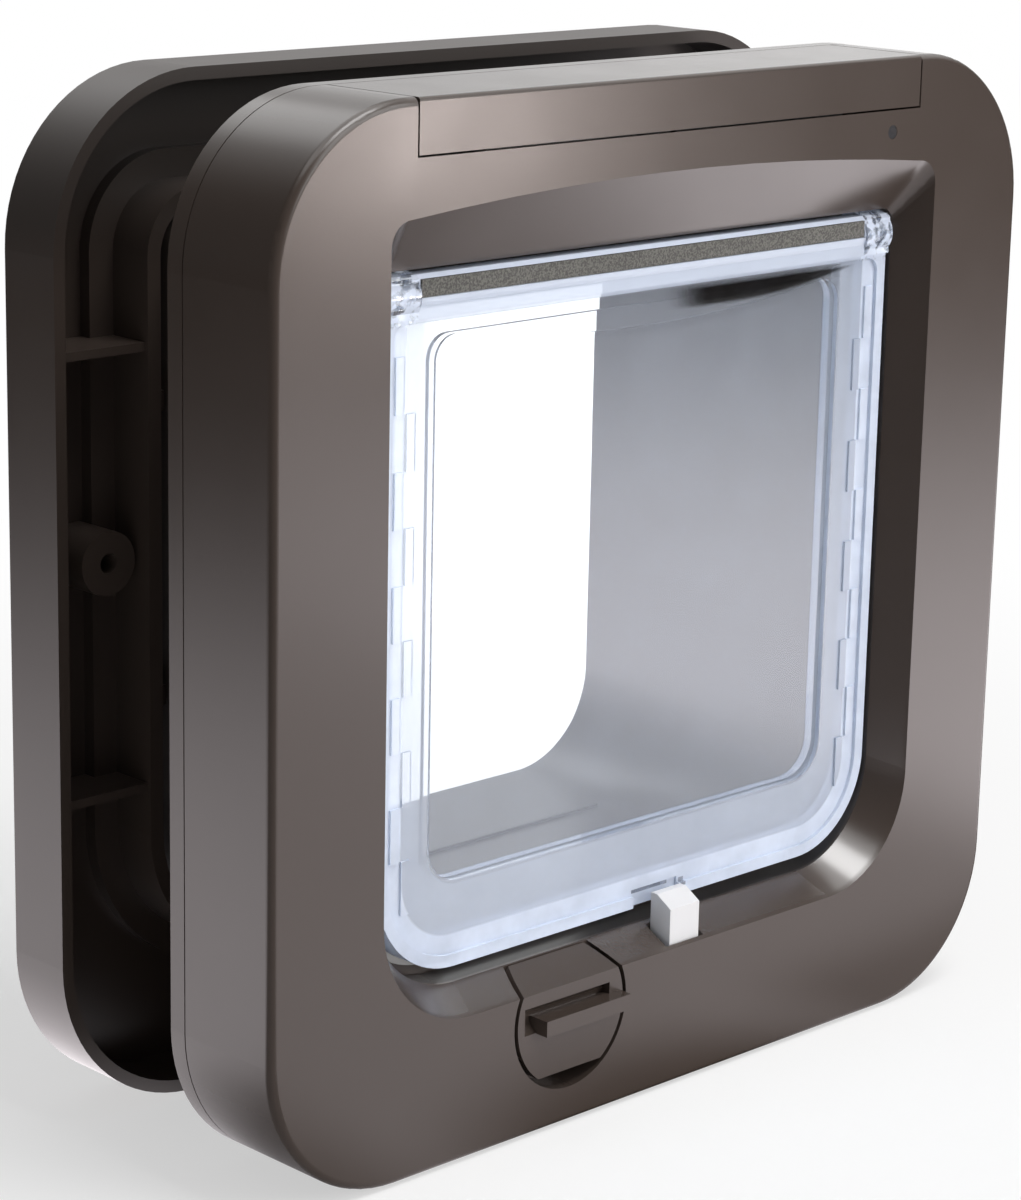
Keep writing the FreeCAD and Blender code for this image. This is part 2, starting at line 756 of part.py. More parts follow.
foot_half = S.button_r + 1.3
button = fuse("learn_button",
              rod("button_cap", "Z", S.button_r, button_spot, (shelf[0] - 2, shelf[1] + 2.5)),
              box("button_foot", (button_x - foot_half, button_x + foot_half),
                  (S.button_y - foot_half, S.button_y + foot_half), (shelf[0] - 1.8, shelf[0] - S.gap)))
status_light = rod("status_light", "Y", 1.4, lens_spot, (0.1, S.face_t + 0.4))

# Flap: clear pane with a stepped rim, a header with a bowed slope and a hinge
# rail with a lug at each end, on a steel rod.

flap_w = throat_w - S.flap_side * 2
half_flap = flap_w / 2
flap_low = throat_low + S.flap_lift
flap_top = hinge_z - 3
flap_body = new_body("flap_pane")
FLAP = (flap_w, flap_low, flap_top, 2, S.flap_rb)
BAND = (flap_w - S.bead_w * 2, flap_low + S.bead_w, hinge_z - 5, 3, S.flap_rb - S.bead_w)
window_w = flap_w - S.rim_w * 2
window_low = flap_low + S.foot_h
window_top = hinge_z - 8.2
recess = (S.flap_t - S.panel_t) / 2
pad(flap_body, "flap_plate", FLAP, S.flap_y, S.flap_t)
pocket(flap_body, "band_front", BAND, S.flap_y, S.bead_step)
pocket(flap_body, "window_back", (window_w, window_low, window_top, 5, 8),
       S.flap_y + recess + S.panel_t, recess + 1)


def window_solid():
    """Front recess of the window, whose top side hangs lower in the middle."""
    start = float(S.flap_y) - 1
    outline = outline_wire(start, window_w, window_low, window_top, 5, round_corner(8), -S.head_sag)
    return Part.Face(outline).extrude(Vec(0, 1 + float(recess), 0))


rail_front = S.hinge_y - 3.8
rail_top = hinge_z + S.rail_r
rail = polygon_body("rail_front", [
    (rail_front, hinge_z - S.rail_r), (rail_front, rail_top - 0.8), (rail_front + 0.8, rail_top),
    (S.hinge_y, rail_top), (S.hinge_y, hinge_z - S.rail_r),
], -half_flap, half_flap)
flap_adds = [flap_body, rail, rod("rail_back", "X", S.rail_r, hinge_spot, (-half_flap, half_flap))]
band_floor = S.flap_y + S.bead_step
dash_top = hinge_z - 11
dash_count = int((float(dash_top) - float(flap_low + S.flap_rb)) / float(S.dash_len)) + 1
for side, tag in ((-1, "l"), (1, "r")):
    lug_span = on_side(side, half_flap - S.lug_w, half_flap)
    flap_adds.append(rod("flap_lug_" + tag, "X", S.lug_r, hinge_spot, lug_span))
    for number in range(dash_count):
        outer = half_flap - S.bead_w - 1 - (S.dash_w + 0.7) * (number % 2)
        high = dash_top - S.dash_len * number
        flap_adds.append(box("dash_%s%d" % (tag, number), on_side(side, outer - S.dash_w, outer),
                             (band_floor - 0.5, band_floor + 0.1), (high - S.dash_len, high)))
half_seal = half_flap - S.lug_w - 0.5
seal_low, seal_high = hinge_z - 0.1, rail_top - 0.9
seal_back = rail_front + 1.2
flap_cuts = [
    rod("flap_bore", "X", S.rod_r + S.run_gap, hinge_spot, (-half_flap - 1, half_flap + 1)),
    shaped("window_front", window_solid()),
    box("seal_groove", (-half_seal - 0.2, half_seal + 0.2), (rail_front - 1, seal_back),
        (seal_low - 0.1, seal_high + 0.1)),
    box("latch_notch", (S.latch_x - 4, S.latch_x + S.latch_w + 1), (S.flap_y - 1, S.flap_y + 1.4),
        (flap_low - 1, S.latch_top + 0.8)),
]
flap = cut("flap", fuse("flap_whole", *flap_adds), *flap_cuts)
flap_seal = box("flap_seal", (-half_seal, half_seal), (rail_front - 0.2, seal_back), (seal_low, seal_high))
block_near = throat_w / 2 + S.tube_t + S.gap
rod_end = block_near + S.block_w - 0.5
hinge_rod = rod("hinge_rod", "X", S.rod_r, hinge_spot, (-rod_end, rod_end))
blocks = []
for side, tag in ((-1, "left"), (1, "right")):
    span = on_side(side, block_near, block_near + S.block_w)
    solid = box("block_%s_solid" % tag, span, (S.reveal_d + S.gap, S.sleeve_y - S.gap),
                (hinge_z - S.block_h / 2, hinge_z + S.block_h / 2))
    hole = rod("block_%s_bore" % tag, "X", S.rod_r + 0.03, hinge_spot, (span[0] - 1, span[1] + 1))
    blocks.append(cut("hinge_block_" + tag, solid, hole))

# Latches, their carrier, the motor and the lock dial.

ly = S.latch_y
entry_latch = polygon_body("entry_latch", [
    (ly, S.latch_low), (ly + S.latch_d, S.latch_low), (ly + S.latch_d, S.latch_top),
    (ly + S.latch_d - 1.6, S.latch_top), (ly, S.latch_top - 2.4),
], S.latch_x, S.latch_x + S.latch_w)
ey = S.exit_y
exit_latch = polygon_body("exit_latch", [
    (ey, S.exit_low), (ey + S.exit_d, S.exit_low), (ey + S.exit_d, S.exit_top - 1.5),
    (ey + 1.5, S.exit_top), (ey, S.exit_top),
], S.exit_x, S.exit_x + S.latch_w)
carrier_low = S.skin + S.gap
carrier_top = throat_low - S.tube_t - 1.2
carrier_right = S.latch_x + S.latch_w + 3
exit_back = S.exit_y + S.exit_d
carrier = cut("latch_carrier",
              fuse("carrier_whole",
                   box("carrier_back", (S.exit_x - 3, carrier_right), (S.exit_y - 1.5, exit_back + 2),
                       (carrier_low + S.lip_t + S.gap, carrier_top)),
                   box("carrier_front", (S.latch_x - 2, carrier_right),
                       (S.latch_y + S.latch_d + 0.3, S.exit_y), (carrier_low, carrier_top))),
              box("carrier_way", exit_span, (S.exit_y - 0.3, exit_back + 0.3),
                  (S.exit_low - 4.5, carrier_top + 9)))
shaft_r = S.motor_r / 5
motor_spot = (S.motor_y, carrier_low + S.motor_r + 0.1)
motor_x = carrier_right + S.motor_r * 1.6 + S.gap
latch_motor = fuse("latch_motor",
                   rod("motor_can", "X", S.motor_r, motor_spot, (motor_x, motor_x + S.motor_len)),
                   rod("motor_shaft", "X", shaft_r, motor_spot, (motor_x - S.motor_r, motor_x + 2)))

dial_disc = rod("dial_disc", "Y", S.dial_r, dial_spot, (0, S.dial_t))
dial_below = S.dial_z - S.dial_chord
chord = box("dial_flat", (S.dial_x - S.dial_r - 1, S.dial_x + S.dial_r + 1), (-1, S.dial_t + 1),
            (dial_below - S.dial_r, dial_below))
grip_low = S.dial_z - 2
grip_top = grip_low + S.grip_t
grip_span = (S.dial_x - S.grip_w / 2 + S.grip_shift, S.dial_x + S.grip_w / 2 + S.grip_shift)
scoop = rod("dial_scoop", "X", S.scoop_r, (S.scoop_depth - S.scoop_r, grip_top - 0.3),
            (grip_span[0] - S.grip_t, grip_span[1] - S.grip_t))
dial_plate = cut("dial_plate", dial_disc, reveal, chord, scoop)
grip = box("dial_grip", grip_span, (-S.grip_out, S.scoop_depth + 1), (grip_low, grip_top))
cam_y = (cup_back + S.gap, cup_back + S.gap + S.cam_t)
stem = rod("dial_stem", "Y", S.stem_r, dial_spot, (S.dial_t - 0.5, cam_y[1] + 0.7))
lock_dial = fuse("lock_dial", dial_plate, grip, stem)
dial_cam = cut("dial_cam",
               fuse("cam_whole", rod("cam_disc", "Y", S.cam_r, dial_spot, cam_y),
                    box("cam_lobe", (S.dial_x, S.dial_x + S.cam_reach), cam_y, (grip_low, S.dial_z + 2))),
               rod("cam_bore", "Y", S.stem_r + 0.04, dial_spot, (0, cam_y[1] + 8)))

# Board, antenna coil and housing screws.

board_right = half_w - S.board_in
board = box("circuit_board", (board_right - S.board_w, board_right), (board_y, board_y + S.board_t),
            (board_low, board_high))
coil_y = (exit_back + 0.8, flange_y - S.gap)
coil = cut("antenna_coil", slab("coil_block", grown(INNER, S.gap + S.coil_t), *coil_y),
           slab("coil_space", grown(INNER, S.gap), coil_y[0] - 1, coil_y[1] + 1))
screws = []
for number, spot in enumerate(post_spots, 1):
    screws.append(fuse("housing_screw_%d" % number,
                       rod("screw_head_%d" % number, "Y", S.head_r, spot,
                           (S.unit_d - 0.1 - S.head_t, S.unit_d - 0.1)),
                       rod("screw_shank_%d" % number, "Y", S.screw_r, spot, (S.face_t + 8, S.unit_d - 1))))

NODES = [front_cover, rear_housing, tunnel, exterior_frame, cover, tray]
NODES += cells
NODES += [contact_right, contact_left_front, contact_left_back, button, status_light]
NODES += [flap, flap_seal, hinge_rod] + blocks
NODES += [entry_latch, exit_latch, carrier, latch_motor, lock_dial, dial_cam]
NODES += [board, coil] + screws

doc.recompute()
faults = []
for item in doc.Objects:
    if "Invalid" in item.State or "Error" in item.State:
        faults.append("%s: %s" % (item.Name, item.State))
for item in NODES:
    item.Label = item.Name
    shape = item.Shape
    if shape.isNull() or not shape.isValid() or len(shape.Solids) != 1:
        faults.append("%s: %d solids, valid %s" % (item.Name, len(shape.Solids), shape.isValid()))
if faults:
    raise SystemExit("\n".join(faults))
for item in NODES:
    item.Shape.exportStep("parts/%s.step" % item.Label)
    print("%-20s %9.1f mm3" % (item.Label, item.Shape.Volume))
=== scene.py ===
import bpy
import math
from mathutils import Matrix, Vector

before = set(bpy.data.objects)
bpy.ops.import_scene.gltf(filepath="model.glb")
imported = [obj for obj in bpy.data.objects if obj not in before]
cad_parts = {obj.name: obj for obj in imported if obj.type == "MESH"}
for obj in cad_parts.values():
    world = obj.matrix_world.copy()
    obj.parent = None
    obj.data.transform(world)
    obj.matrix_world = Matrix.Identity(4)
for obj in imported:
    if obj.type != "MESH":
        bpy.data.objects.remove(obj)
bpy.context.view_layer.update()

# Depths are given from the indoor front face and moved to the model's middle.
MID = 0.04675

# Surface values: how rough the painted-shade areas and a polished coat are, and how
# deep the fine bump reaches on moulded and on clear plastic. Then the clear colours.
PAINTED_SHADE_ROUGH = 0.7
COAT_ROUGH = 0.2
PLASTIC_BUMP_DEPTH = 0.0002
CLEAR_BUMP_DEPTH = 0.0004
CLEAR_BUMP = 0.03
# PAINTED_DARK_COLOUR is the painted dark that the pane's painted reflection and shade reach.
PAINTED_DARK_COLOUR = (0.05, 0.046, 0.044, 1.0)
MILK = (0.74, 0.81, 0.95, 1.0)
PANE_TINT = (0.92, 0.96, 1.0, 1.0)
LENS_TINT = (0.2, 0.16, 0.14, 1.0)


def rgb(r, g, b):
    """sRGB 0-255 to linear."""
    out = []
    for c in (r, g, b):
        c = c / 255.0
        out.append(c / 12.92 if c <= 0.04045 else ((c + 0.055) / 1.055) ** 2.4)
    return (*out, 1.0)


def node(tree, kind, **sockets):
    """New node with these input sockets set."""
    item = tree.nodes.new(kind)
    for name, value in sockets.items():
        item.inputs[name.replace("_", " ")].default_value = value
    return item


def plastic(name, colour, rough=0.4, spread=0.06, grain=900.0, bump=0.06, shade=0.12, metal=0.0,
            speck=0.0, painted_shade=None, polish=None):
    """Moulded surface: tone drift, uneven gloss and fine grain.

    It can also have specks, a mask of painted shade and a mask of a polished part.
    """
    mat = bpy.data.materials.new(name)
    mat.use_nodes = True
    tree = mat.node_tree
    bsdf = tree.nodes["Principled BSDF"]
    coords = tree.nodes.new("ShaderNodeTexCoord")
    drift = node(tree, "ShaderNodeTexNoise", Scale=14.0, Detail=4.0)
    tree.links.new(coords.outputs["Object"], drift.inputs["Vector"])
    ramp = tree.nodes.new("ShaderNodeValToRGB")
    ramp.color_ramp.elements[0].position = 0.3
    ramp.color_ramp.elements[1].position = 0.7
    ramp.color_ramp.elements[0].color = tuple(c * (1 - shade) for c in colour[:3]) + (1.0,)
    ramp.color_ramp.elements[1].color = tuple(min(1.0, c * (1 + shade)) for c in colour[:3]) + (1.0,)
    tree.links.new(drift.outputs["Fac"], ramp.inputs["Fac"])
    gloss = node(tree, "ShaderNodeTexNoise", Scale=60.0, Detail=3.0)
    tree.links.new(coords.outputs["Object"], gloss.inputs["Vector"])
    spread_map = node(tree, "ShaderNodeMapRange", To_Min=rough - spread, To_Max=rough + spread)
    tree.links.new(gloss.outputs["Fac"], spread_map.inputs["Value"])
    dull = spread_map.outputs["Result"]
    fine = node(tree, "ShaderNodeTexNoise", Scale=grain, Detail=2.0)
    tree.links.new(coords.outputs["Object"], fine.inputs["Vector"])
    lift = node(tree, "ShaderNodeBump", Strength=bump, Distance=PLASTIC_BUMP_DEPTH)
    tree.links.new(fine.outputs["Fac"], lift.inputs["Height"])
    tree.links.new(lift.outputs["Normal"], bsdf.inputs["Normal"])
    bsdf.inputs["Metallic"].default_value = metal
    tone = ramp_to(tree, fine.outputs["Fac"], 0.35, 0.65, 1.0 - speck, 1.0 + speck)
    # Painted shade: where the mask is given, the colour is darkened and the gloss dulled.
    if painted_shade:
        dark = painted_shade(tree, coords.outputs["Object"])
        tone = math_node(tree, "MULTIPLY", tone, math_node(tree, "SUBTRACT", 1.0, dark))
        dull = mixed(tree, dark, dull, PAINTED_SHADE_ROUGH)
    tree.links.new(dull, bsdf.inputs["Roughness"])
    if polish:
        bsdf.inputs["Coat Roughness"].default_value = COAT_ROUGH
        tree.links.new(polish(tree, coords.outputs["Object"]), bsdf.inputs["Coat Weight"])
    scaled = tree.nodes.new("ShaderNodeVectorMath")
    scaled.operation = "SCALE"
    tree.links.new(ramp.outputs["Color"], scaled.inputs[0])
    tree.links.new(tone, scaled.inputs["Scale"])
    tree.links.new(scaled.outputs["Vector"], bsdf.inputs["Base Color"])
    return mat


def math_node(tree, operation, *values):
    """Math node whose inputs are sockets or plain numbers."""
    item = tree.nodes.new("ShaderNodeMath")
    item.operation = operation
    for number, value in enumerate(values):
        if isinstance(value, bpy.types.NodeSocket):
            tree.links.new(value, item.inputs[number])
        else:
            item.inputs[number].default_value = value
    return item.outputs[0]


def ramp_to(tree, socket, low, high, start, end):
    """Smooth step of a socket from start at low to end at high."""
    item = node(tree, "ShaderNodeMapRange", From_Min=low, From_Max=high, To_Min=start, To_Max=end)
    item.interpolation_type = "SMOOTHSTEP"
    tree.links.new(socket, item.inputs["Value"])
    return item.outputs["Result"]


def clear(name, tint, rough, haze, shade=None, ior=1.5):
    """Clear moulded plastic with a faint tint, uneven gloss and some milky haze."""
    mat = bpy.data.materials.new(name)
    mat.use_nodes = True
    tree = mat.node_tree
    bsdf = tree.nodes["Principled BSDF"]
    bsdf.inputs["Base Color"].default_value = tint
    bsdf.inputs["Transmission Weight"].default_value = 1.0
    bsdf.inputs["IOR"].default_value = ior
    coords = tree.nodes.new("ShaderNodeTexCoord")
    # Painted dark reflection and shade: the shade mask darkens the tint.
    if shade:
        darker = tree.nodes.new("ShaderNodeValToRGB")
        darker.color_ramp.elements[0].color = tint
        darker.color_ramp.elements[1].color = PAINTED_DARK_COLOUR
        tree.links.new(shade(tree, coords.outputs["Object"]), darker.inputs["Fac"])
        tree.links.new(darker.outputs["Color"], bsdf.inputs["Base Color"])
    gloss = node(tree, "ShaderNodeTexNoise", Scale=30.0, Detail=3.0)
    tree.links.new(coords.outputs["Object"], gloss.inputs["Vector"])
    spread_map = node(tree, "ShaderNodeMapRange", To_Min=rough * 0.6, To_Max=rough * 1.4)
    tree.links.new(gloss.outputs["Fac"], spread_map.inputs["Value"])
    tree.links.new(spread_map.outputs["Result"], bsdf.inputs["Roughness"])
    wave = node(tree, "ShaderNodeTexNoise", Scale=45.0, Detail=2.0)
    tree.links.new(coords.outputs["Object"], wave.inputs["Vector"])
    lift = node(tree, "ShaderNodeBump", Strength=CLEAR_BUMP, Distance=CLEAR_BUMP_DEPTH)
    tree.links.new(wave.outputs["Fac"], lift.inputs["Height"])
    tree.links.new(lift.outputs["Normal"], bsdf.inputs["Normal"])
    milk = node(tree, "ShaderNodeBsdfDiffuse", Color=MILK)
    blend = tree.nodes.new("ShaderNodeMixShader")
    if callable(haze):
        tree.links.new(haze(tree, coords.outputs["Object"]), blend.inputs["Fac"])
    else:
        blend.inputs["Fac"].default_value = haze
    tree.links.new(bsdf.outputs["BSDF"], blend.inputs[1])
    tree.links.new(milk.outputs["BSDF"], blend.inputs[2])
    tree.links.new(blend.outputs["Shader"], tree.nodes["Material Output"].inputs["Surface"])
    return mat


# The flap's and its thin window's half width, lower edge and corner radius.
# Above the window the header is clear up to the frosted strip by the hinge.
FLAP_EDGE = (0.0715, 0.0375, 0.0205)
WINDOW_EDGE = (0.0575, 0.055, 0.008)
BAND = 0.0065
FROST_LOW = 0.1668
WINDOW_HAZE = 0.115
RIM_HAZE = 0.34
BAND_HAZE = 0.68
FROST_HAZE = 0.62
# Painted highlight: milky haze from HIGHLIGHT_LOW up, along the flap's top edge.
HIGHLIGHT_LOW = 0.1753
HIGHLIGHT_HAZE = 0.9
LUG_IN = 0.0635
# Painted shade along the latch's notch: left, right, low and high of each dark patch, with its soft edge
# and share.
NOTCH_SHADES = ((0.0005, 0.0114, 0.0401, 0.0411), (0.014, 0.0158, 0.0392, 0.041))
NOTCH_SHADE_SOFT = 0.0002
NOTCH_SHADE_SHARE = 0.75
STREAK_SHARE = 0.06

# Where the header gets a painted dark reflection: from START it grows, above a lower
# edge that is level up to TURN and then rises as a curve, and it ends below TOP.
WEDGE_START = (0.005, 0.018)
WEDGE_TURN = 0.026
WEDGE_RUN = 0.034
WEDGE_LOW = 0.1617
WEDGE_RISE = 0.0037
WEDGE_TOP = (0.1655, 0.1662)

# Edges of the masks by place, each as where it starts and where it is full.
# Painted shade in the throat round the flap, and how dark it gets.
THROAT_INWARD = (0.0078 - MID, 0.0092 - MID)
THROAT_SIDES = (0.079, 0.081)
THROAT_ABOVE = (0.029, 0.031)
THROAT_BELOW = (0.184, 0.186)
THROAT_DARK = 0.85
REVEAL_INWARD = (0.0002 - MID, 0.0012 - MID)
REVEAL_SIDES = (0.0772, 0.0778)
REVEAL_LOW = (0.055, 0.075)
REVEAL_ABOVE = (0.028, 0.0295)
REVEAL_COAT = 0.9
# Painted shade on the outdoor frame's top: where it starts and where it is full, and how dark it gets.
TOP_EDGE = (0.165, 0.19)
TOP_DARK = 0.4


def split(tree, point):
    """X, Y and Z of a point."""
    parts = tree.nodes.new("ShaderNodeSeparateXYZ")
    tree.links.new(point, parts.inputs["Vector"])
    return parts.outputs["X"], parts.outputs["Y"], parts.outputs["Z"]


def above_zero(tree, socket):
    """The socket's value, or zero where it is negative."""
    return math_node(tree, "MAXIMUM", socket, 0.0)


def times(tree, *values):
    """Product of all the values."""
    out = values[0]
    for value in values[1:]:
        out = math_node(tree, "MULTIPLY", out, value)
    return out


def beyond(tree, x, z, edge):
    """How far a point lies outside an edge that is round at its lower corners."""
    half, low, radius = edge
    across = math_node(tree, "ABSOLUTE", x)
    side = above_zero(tree, math_node(tree, "SUBTRACT", across, half - radius))
    below = above_zero(tree, math_node(tree, "SUBTRACT", low + radius, z))
    squares = math_node(tree, "ADD", times(tree, side, side), times(tree, below, below))
    corner = math_node(tree, "SQRT", squares)
    return math_node(tree, "SUBTRACT", corner, radius)


def pane_zones(tree, point):
    """Masks of the thick rim, its outer band and the frosted strip, and X and Z of the point."""
    x, _, z = split(tree, point)
    rim = ramp_to(tree, beyond(tree, x, z, WINDOW_EDGE), -0.0004, 0.001, 0.0, 1.0)
    band = ramp_to(tree, beyond(tree, x, z, FLAP_EDGE), -BAND - 0.0003, -BAND + 0.0003, 0.0, 1.0)
    frost = ramp_to(tree, z, FROST_LOW - 0.0006, FROST_LOW + 0.0006, 0.0, 1.0)
    return rim, band, frost, x, z


def mixed(tree, mask, off, on):
    """Level that goes from off to on with the mask."""
    return math_node(tree, "ADD", off, times(tree, mask, math_node(tree, "SUBTRACT", on, off)))


def pane_haze(tree, point):
    """Little haze in the window, more in the rim and by the hinge, a painted highlight of milky haze along
    the flap's top edge, and painted glints of uneven haze in the lugs.
    """
    rim, band, frost, x, z = pane_zones(tree, point)
    streak = node(tree, "ShaderNodeTexNoise", Scale=90.0, Detail=3.0)
    tree.links.new(point, streak.inputs["Vector"])
    level = math_node(tree, "MULTIPLY_ADD", rim, RIM_HAZE - WINDOW_HAZE, WINDOW_HAZE)
    patchy = math_node(tree, "MULTIPLY_ADD", streak.outputs["Fac"], 0.5, BAND_HAZE - 0.25)
    level = mixed(tree, band, level, patchy)
    level = math_node(tree, "MAXIMUM", level, times(tree, frost, FROST_HAZE))
    # Painted highlight: the band along the flap's top edge turns milky white.
    level = mixed(tree, ramp_to(tree, z, HIGHLIGHT_LOW - 0.0001, HIGHLIGHT_LOW + 0.0001, 0.0, 1.0), level, HIGHLIGHT_HAZE)
    # Painted glints: random milky specks over the lugs.
    glints = node(tree, "ShaderNodeTexNoise", Scale=420.0, Detail=2.0)
    tree.links.new(point, glints.inputs["Vector"])
    uneven = ramp_to(tree, glints.outputs["Fac"], 0.42, 0.58, 0.05, 0.8)
    across = math_node(tree, "ABSOLUTE", x)
    lug = times(tree, frost, ramp_to(tree, across, LUG_IN - 0.0002, LUG_IN + 0.0002, 0.0, 1.0))
    level = mixed(tree, lug, level, uneven)
    level = times(tree, level, math_node(tree, "SUBTRACT", 1.0, pane_painted_dark(tree, point)))
    lowest = math_node(tree, "SUBTRACT", level, STREAK_SHARE / 2)
    return math_node(tree, "MULTIPLY_ADD", streak.outputs["Fac"], STREAK_SHARE, lowest)


def pane_painted_dark(tree, point):
    """Painted dark share: a painted dark reflection in the header's right part, and painted shade along
    the edges of the latch's notch.
    """
    _, _, _, x, z = pane_zones(tree, point)
    start = ramp_to(tree, x, *WEDGE_START, 0.0, 1.0)
    past_turn = math_node(tree, "SUBTRACT", x, WEDGE_TURN)
    reach = above_zero(tree, math_node(tree, "DIVIDE", past_turn, WEDGE_RUN))
    low = math_node(tree, "MULTIPLY_ADD", times(tree, reach, reach), WEDGE_RISE, WEDGE_LOW)
    rise = ramp_to(tree, math_node(tree, "SUBTRACT", z, low), -0.0002, 0.0008, 0.0, 1.0)
    top = ramp_to(tree, z, *WEDGE_TOP, 1.0, 0.0)
    dark = times(tree, start, rise, top)
    for left, right, low, high in NOTCH_SHADES:
        along = times(tree, ramp_to(tree, x, left, left + NOTCH_SHADE_SOFT, 0.0, NOTCH_SHADE_SHARE),
                      ramp_to(tree, x, right - NOTCH_SHADE_SOFT, right, 1.0, 0.0))
        upright = times(tree, ramp_to(tree, z, low, low + NOTCH_SHADE_SOFT, 0.0, 1.0),
                        ramp_to(tree, z, high - NOTCH_SHADE_SOFT, high, 1.0, 0.0))
        dark = math_node(tree, "MAXIMUM", dark, times(tree, along, upright))
    return dark


def throat_painted_shade(tree, point):
    """Mask of painted shade in the throat round the flap, where hardly any light gets in."""
    x, y, z = split(tree, point)
    inward = ramp_to(tree, y, *THROAT_INWARD, 0.0, THROAT_DARK)
    sides = ramp_to(tree, math_node(tree, "ABSOLUTE", x), *THROAT_SIDES, 1.0, 0.0)
    above = ramp_to(tree, z, *THROAT_ABOVE, 0.0, 1.0)
    below = ramp_to(tree, z, *THROAT_BELOW, 1.0, 0.0)
    return times(tree, inward, sides, above, below)


def reveal_polish(tree, point):
    """Mask of the reveal's glossier lower part."""
    x, y, z = split(tree, point)
    inward = ramp_to(tree, y, *REVEAL_INWARD, 0.0, REVEAL_COAT)
    sides = ramp_to(tree, math_node(tree, "ABSOLUTE", x), *REVEAL_SIDES, 1.0, 0.0)
    low = ramp_to(tree, z, *REVEAL_LOW, 1.0, 0.0)
    above = ramp_to(tree, z, *REVEAL_ABOVE, 0.0, 1.0)
    return times(tree, inward, sides, low, above)


def top_painted_shade(tree, point):
    """Mask of painted shade on the outdoor frame's top and upper corners, which are darker and duller."""
    _, _, z = split(tree, point)
    return ramp_to(tree, z, *TOP_EDGE, 0.0, TOP_DARK)


BROWN = rgb(67, 58, 53)
SHADED_BROWN = rgb(64, 55, 50)
brown = plastic("brown_satin", BROWN, 0.23, 0.03, 1400.0, 0.03, 0.04)
brown_front = plastic("brown_front", BROWN, 0.23, 0.03, 1400.0, 0.03, 0.04,
                      painted_shade=throat_painted_shade, polish=reveal_polish)
brown_rear = plastic("brown_rear", SHADED_BROWN, 0.3, 0.03, 1400.0, 0.02, 0.03, painted_shade=top_painted_shade)
brown_tunnel = plastic("brown_tunnel", SHADED_BROWN, 0.34, 0.01, 1400.0, 0.0, 0.02)
black = plastic("black_satin", rgb(34, 33, 35), 0.45)
white = plastic("white_acetal", rgb(216, 216, 218), 0.35, 0.04, 700.0, 0.03, 0.015)
steel = plastic("steel", rgb(190, 192, 196), 0.28, 0.06, 600.0, 0.04, 0.05, metal=1.0)
cell = plastic("cell_sleeve", rgb(120, 126, 134), 0.3, 0.05, 500.0, 0.02, 0.04)
board_mat = plastic("board_green", rgb(38, 96, 62), 0.4)
copper = plastic("copper_wire", rgb(190, 118, 72), 0.35, 0.05, 1800.0, 0.4, 0.08, metal=1.0)
bristle = plastic("bristle", rgb(92, 91, 87), 0.7, 0.1, 2600.0, 1.0, 0.15, speck=0.4)
pane = clear("clear_pane", PANE_TINT, 0.01, pane_haze, pane_painted_dark)
lens = clear("clear_lens", LENS_TINT, 0.2, 0.03)

LOOKS = {
    "front_cover": brown_front, "battery_cover": brown, "lock_dial": brown,
    "tunnel": brown_tunnel, "rear_housing": brown, "exterior_frame": brown_rear,
    "hinge_block_left": brown, "hinge_block_right": brown,
    "battery_tray": black, "latch_carrier": black, "dial_cam": black, "learn_button": black,
    "flap": pane, "status_light": lens, "entry_latch": white, "exit_latch": white, "flap_seal": bristle,
    "hinge_rod": steel, "contact_right": steel, "contact_left_front": steel, "contact_left_back": steel,
    "latch_motor": steel, "circuit_board": board_mat, "antenna_coil": copper,
}
for number in range(1, 5):
    LOOKS["battery_%d" % number] = cell
    LOOKS["housing_screw_%d" % number] = steel
for name, mat in LOOKS.items():
    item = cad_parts[name]
    item.data.materials.clear()
    item.data.materials.append(mat)

# White behind clear pieces is this much brighter, which makes up for their tint.
THROUGH = 1.5
WHITE = (1.0, 1.0, 1.0, 1.0)
FLOOR_WHITE = (0.92, 0.92, 0.92, 1.0)
REFLECTION_GLOW_COLOUR = (1.0, 0.94, 0.97, 1.0)
FLOOR_DROP = 0.0006

# Floor: white, keeping a soft contact shadow that fades into the background.
# Glossy rays see a painted reflection glow on it, brightest to the right of the object,
# dimmer in front and fading soonest behind it to the left.
bpy.ops.mesh.primitive_plane_add(size=6.0, location=(0, 0, -FLOOR_DROP))
floor = bpy.context.object
floor.name = "floor"
floor_mat = bpy.data.materials.new("floor_white")
floor_mat.use_nodes = True
tree = floor_mat.node_tree
tree.nodes.remove(tree.nodes["Principled BSDF"])
matte = node(tree, "ShaderNodeBsdfDiffuse", Color=FLOOR_WHITE)
glow = node(tree, "ShaderNodeEmission", Color=WHITE)
coords = tree.nodes.new("ShaderNodeTexCoord")
length = tree.nodes.new("ShaderNodeVectorMath")
length.operation = "LENGTH"
tree.links.new(coords.outputs["Object"], length.inputs[0])
reach = length.outputs["Value"]
fade = ramp_to(tree, reach, 0.12, 0.5, 0.55, 1.0)
rays = tree.nodes.new("ShaderNodeLightPath")
seen = math_node(tree, "MAXIMUM", rays.outputs["Is Camera Ray"], rays.outputs["Is Transmission Ray"])
share = math_node(tree, "MULTIPLY", fade, seen)
made_up = math_node(tree, "MULTIPLY_ADD", rays.outputs["Is Transmission Ray"], THROUGH - 1.0, 1.0)
tree.links.new(made_up, glow.inputs["Strength"])
blend = tree.nodes.new("ShaderNodeMixShader")
tree.links.new(share, blend.inputs["Fac"])
tree.links.new(matte.outputs["BSDF"], blend.inputs[1])
tree.links.new(glow.outputs["Emission"], blend.inputs[2])

